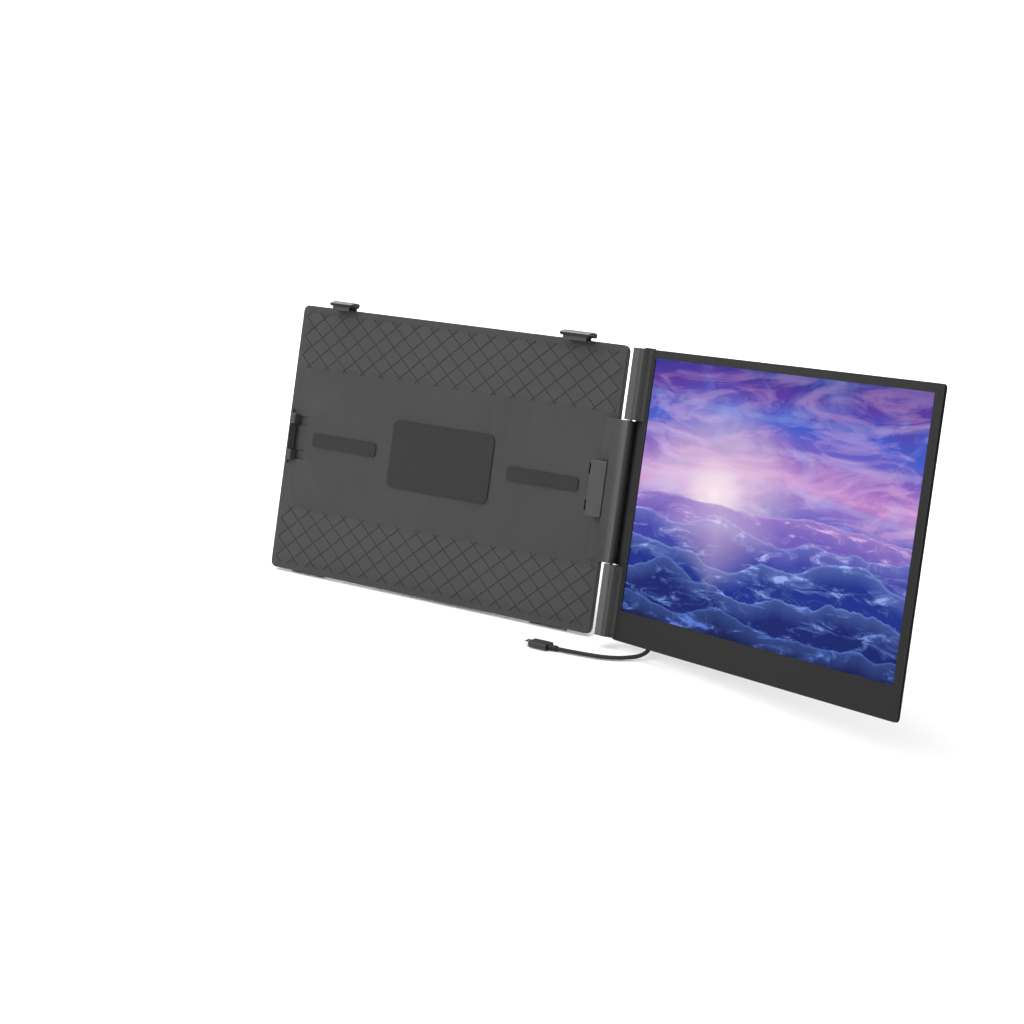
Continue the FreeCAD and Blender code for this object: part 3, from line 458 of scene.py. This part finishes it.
G_BEZEL = bezel_material()
G_SHELL = shell_material()
G_RUBBER = rubber("grip_rubber_soft", 0.009, 0.8)
G_PAD = rubber("pad_silicone", 0.022, 0.75)
G_STEEL = metal("steel_plain")
G_SCREW = metal("screw_black", (0.05, 0.05, 0.052), 0.4)
G_PORT = metal("socket_plated", (0.62, 0.62, 0.63), 0.25)
G_TRAY = metal("tray_rolled", (0.66, 0.66, 0.67), 0.4)
G_ACRYL = clear_plastic("light_guide_acrylic")
G_BOARD = board("driver_board_mask")
G_FLEX = moulded("flex_film", 0.20, 0.35, tint=(1.0, 0.55, 0.18), wear=0.0)
G_PLUG = moulded("plug_satin", 0.018, 0.5, tint=(1.0, 1.0, 0.975), spec=0.25, wear=0.5)
G_CABLE = rubber("cable_jacket", 0.014, 0.5)

FINISH = {
    "bracket_front_plate": G_BRACKET, "bracket_rear_cover": G_COVER, "bracket_screws": G_SCREW, "centre_grip_pad": G_PAD, "side_grip_pads": G_PAD, "bracket_feet": G_RUBBER,
    "top_claw_left": G_TOPCLAW, "top_claw_right": G_TOPCLAW, "top_claw_pad_left": G_RUBBER, "top_claw_pad_right": G_RUBBER, "top_claw_guide_left": G_STEEL, "top_claw_guide_right": G_STEEL,
    "top_claw_spring_left": G_STEEL, "top_claw_spring_right": G_STEEL, "side_claw_left": G_CLAW, "side_claw_right": G_CLAW, "side_claw_pad_left": G_RUBBER, "side_claw_pad_right": G_RUBBER,
    "side_claw_guide_left": G_STEEL, "side_claw_guide_right": G_STEEL, "hinge_knuckle": G_KNUCKLE, "hinge_leaf": G_STEEL, "hinge_leaf_screws": G_STEEL, "torque_sleeve_lower": G_STEEL,
    "torque_sleeve_upper": G_STEEL, "stand_panel": G_COVER, "stand_foot": G_RUBBER, "stand_hinge_pins": G_STEEL, "monitor_bezel": G_BEZEL, "light_guide": G_ACRYL,
    "backlight_tray": G_TRAY, "monitor_rear_shell": G_SHELL, "spine_lower": G_SPINE, "spine_upper": G_SPINE, "hinge_plate_lower": G_STEEL, "hinge_plate_upper": G_STEEL,
    "hinge_pin_lower": G_STEEL, "hinge_pin_upper": G_STEEL, "monitor_screws": G_SCREW, "driver_board": G_BOARD, "usb_c_sockets": G_PORT, "mini_hdmi_socket": G_PORT, "panel_ribbon": G_FLEX,
    "speakers": G_RUBBER, "power_button": G_CLAW, "menu_button": G_CLAW, "button_switches": G_STEEL, "indicator_light_pipe": G_ACRYL, "cable_tip_monitor": G_PORT, "cable_plug_monitor": G_PLUG,
    "cable_relief_monitor": G_CABLE, "cable_relief_host": G_CABLE, "cable_plug_host": G_PLUG, "cable_tip_host": G_PORT,
}
for node, mat in FINISH.items():
    dress(node, mat)


def new_mesh(name, build, mat, body):
    bm = bmesh.new()
    build(bm)
    bmesh.ops.recalc_face_normals(bm, faces=bm.faces)
    me = bpy.data.meshes.new(name)
    bm.to_mesh(me)
    bm.free()
    o = bpy.data.objects.new(name, me)
    bpy.context.scene.collection.objects.link(o)
    me.materials.append(mat)
    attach(o, body)
    return o


# ------------------------------------------------------------------ display panel: glass block whose face carries the lit picture
WU0, WU1, WS0, WS1 = 22.7, 388.1, 12.65, 221.0


def panel(bm):
    """A block with a thin dark margin round the lit area. The lit face has UVs from 0 to 1."""
    uv = bm.loops.layers.uv.new("UVMap")
    u0, u1, s0, s1 = WU0 - 3, WU1 + 3, WS0 - 3, WS1 + 3
    m0, m1 = -2.1, -0.86
    nx, ny = 24, 14
    us = [u0] + [WU0 - 0.6 + (WU1 - WU0 + 1.2) * i / nx for i in range(nx + 1)] + [u1]
    ss = [s0] + [WS0 - 0.6 + (WS1 - WS0 + 1.2) * j / ny for j in range(ny + 1)] + [s1]
    top = [[bm.verts.new(M(u, s, m1)) for u in us] for s in ss]
    bot = [[bm.verts.new(M(u, s, m0)) for u in (u0, u1)] for s in (s0, s1)]
    for j in range(len(ss) - 1):
        for i in range(len(us) - 1):
            f = bm.faces.new((top[j][i], top[j][i + 1], top[j + 1][i + 1], top[j + 1][i]))
            for lp in f.loops:
                k = lp.vert
                jj = j if k in (top[j][i], top[j][i + 1]) else j + 1
                ii = i if k in (top[j][i], top[j + 1][i]) else i + 1
                lp[uv].uv = ((us[ii] - WU0) / (WU1 - WU0), (ss[jj] - WS0) / (WS1 - WS0))
            f.smooth = False
            f.material_index = 0 if 0 < i < len(us) - 2 and 0 < j < len(ss) - 2 else 1
    J, I = len(ss) - 1, len(us) - 1
    rim = [top[0][i] for i in range(I + 1)]
    f = bm.faces.new(rim + [bot[0][1], bot[0][0]]); f.material_index = 1
    f = bm.faces.new([top[j][I] for j in range(J + 1)] + [bot[1][1], bot[0][1]]); f.material_index = 1
    f = bm.faces.new([top[J][i] for i in range(I, -1, -1)] + [bot[1][0], bot[1][1]]); f.material_index = 1
    f = bm.faces.new([top[j][0] for j in range(J, -1, -1)] + [bot[0][0], bot[1][0]]); f.material_index = 1
    f = bm.faces.new((bot[0][0], bot[0][1], bot[1][1], bot[1][0])); f.material_index = 1


G_SCREEN = screen_material()
G_GLASS = moulded("panel_margin", 0.006, 0.3, tint=(1, 1, 1.1), wear=0.0)
scr = new_mesh("display_panel_lit", panel, G_SCREEN, "monitor")
scr.data.materials.append(G_GLASS)
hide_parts("display_panel")

# ------------------------------------------------------------------ cable
ROUTE = [
    (272.24, -44.52, -81.64), (272.24, -49.31, -94.80), (271.00, -54.80, -105.30), (264.50, -58.80, -113.60),
    (253.00, -66.80, -114.98), (239.50, -73.00, -114.98), (223.50, -75.60, -114.98), (208.00, -76.60, -114.98),
    (193.00, -77.70, -114.98), (179.40, -77.60, -114.98),
]
cd = bpy.data.curves.new("display_cable", "CURVE")
cd.dimensions = "3D"
sp = cd.splines.new("NURBS")
sp.points.add(len(ROUTE) - 1)
for pt, c in zip(sp.points, ROUTE):
    pt.co = (c[0] / 1000, c[1] / 1000, c[2] / 1000, 1.0)
sp.order_u = 3
sp.use_endpoint_u = True
sp.resolution_u = 16
cd.bevel_depth = 0.00175
cd.bevel_resolution = 6
cd.resolution_u = 16
cd.use_fill_caps = True
cable = bpy.data.objects.new("display_cable", cd)
bpy.context.scene.collection.objects.link(cable)
cd.materials.append(G_CABLE)
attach(cable, "monitor")
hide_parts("cable")

# ------------------------------------------------------------------ floor, light
def stage_floor():
    me = bpy.data.meshes.new("studio_floor")
    bm = bmesh.new()
    z = TABLE - 0.0006
    prof = [(-4.0, z), (1.6, z)]
    for i in range(1, 13):
        a = math.pi / 2 * i / 12
        prof.append((1.6 + 1.2 * math.sin(a), z + 1.2 * (1 - math.cos(a))))
    prof.append((2.8, z + 5.0))
    rows = []
    d = Vector((-math.sin(AZ), math.cos(AZ), 0))
    w = Vector((math.cos(AZ), math.sin(AZ), 0))
    for t, h in prof:
        rows.append([bm.verts.new(d * t + w * x + Vector((0, 0, h))) for x in (-6, 6)])
    for a, b in zip(rows, rows[1:]):
        f = bm.faces.new((a[0], a[1], b[1], b[0])); f.smooth = True
    bm.to_mesh(me); bm.free()
    o = bpy.data.objects.new("studio_floor", me)
    bpy.context.scene.collection.objects.link(o)
    q = Mat("floor_pale")
    co = q.coord()
    nn = q.noise(co, 3.0, 2.0, 0.5)
    q.link(q.mix(nn, grey(0.93), grey(0.95)), q.b.inputs["Base Color"])
    q.b.inputs["Roughness"].default_value = 0.9
    q.b.inputs["Specular IOR Level"].default_value = 0.1
    me.materials.append(q.m)


stage_floor()

world = bpy.data.worlds.new("studio")
bpy.context.scene.world = world
world.use_nodes = True
bg = world.node_tree.nodes["Background"]
bg.inputs[0].default_value = (1.0, 1.0, 1.0, 1)
bg.inputs[1].default_value = 0.34


def area(name, loc, aim, size, power, col=(1, 1, 1)):
    ld = bpy.data.lights.new(name, "AREA")
    ld.shape = "RECTANGLE"
    ld.size, ld.size_y = size
    ld.energy = power
    ld.color = col
    o = bpy.data.objects.new(name, ld)
    bpy.context.scene.collection.objects.link(o)
    o.location = loc
    o.rotation_euler = (Vector(aim) - Vector(loc)).to_track_quat("-Z", "Y").to_euler()
    return o


area("key", (-0.9, -1.7, 1.9), (0.15, 0, 0), (1.2, 1.2), 40)
area("top", (0.3, 0.1, 2.2), (0.2, -0.1, 0), (2.6, 1.8), 30)
away = Vector((-math.sin(AZ), math.cos(AZ), 0))
area("front_strip", (-0.11, -2.06, 0.75), (0.2, 0, 0), (0.25, 1.3), 9)
area("backdrop", tuple(away * 1.3 + Vector((0, 0, 2.8))), tuple(away * 2.6 + Vector((0, 0, 0.5))), (6.0, 1.4), 170)

sc = bpy.context.scene
sc.view_settings.view_transform = "Standard"
sc.view_settings.look = "None"
sc.view_settings.exposure = 0.0
sc.view_settings.gamma = 1.0
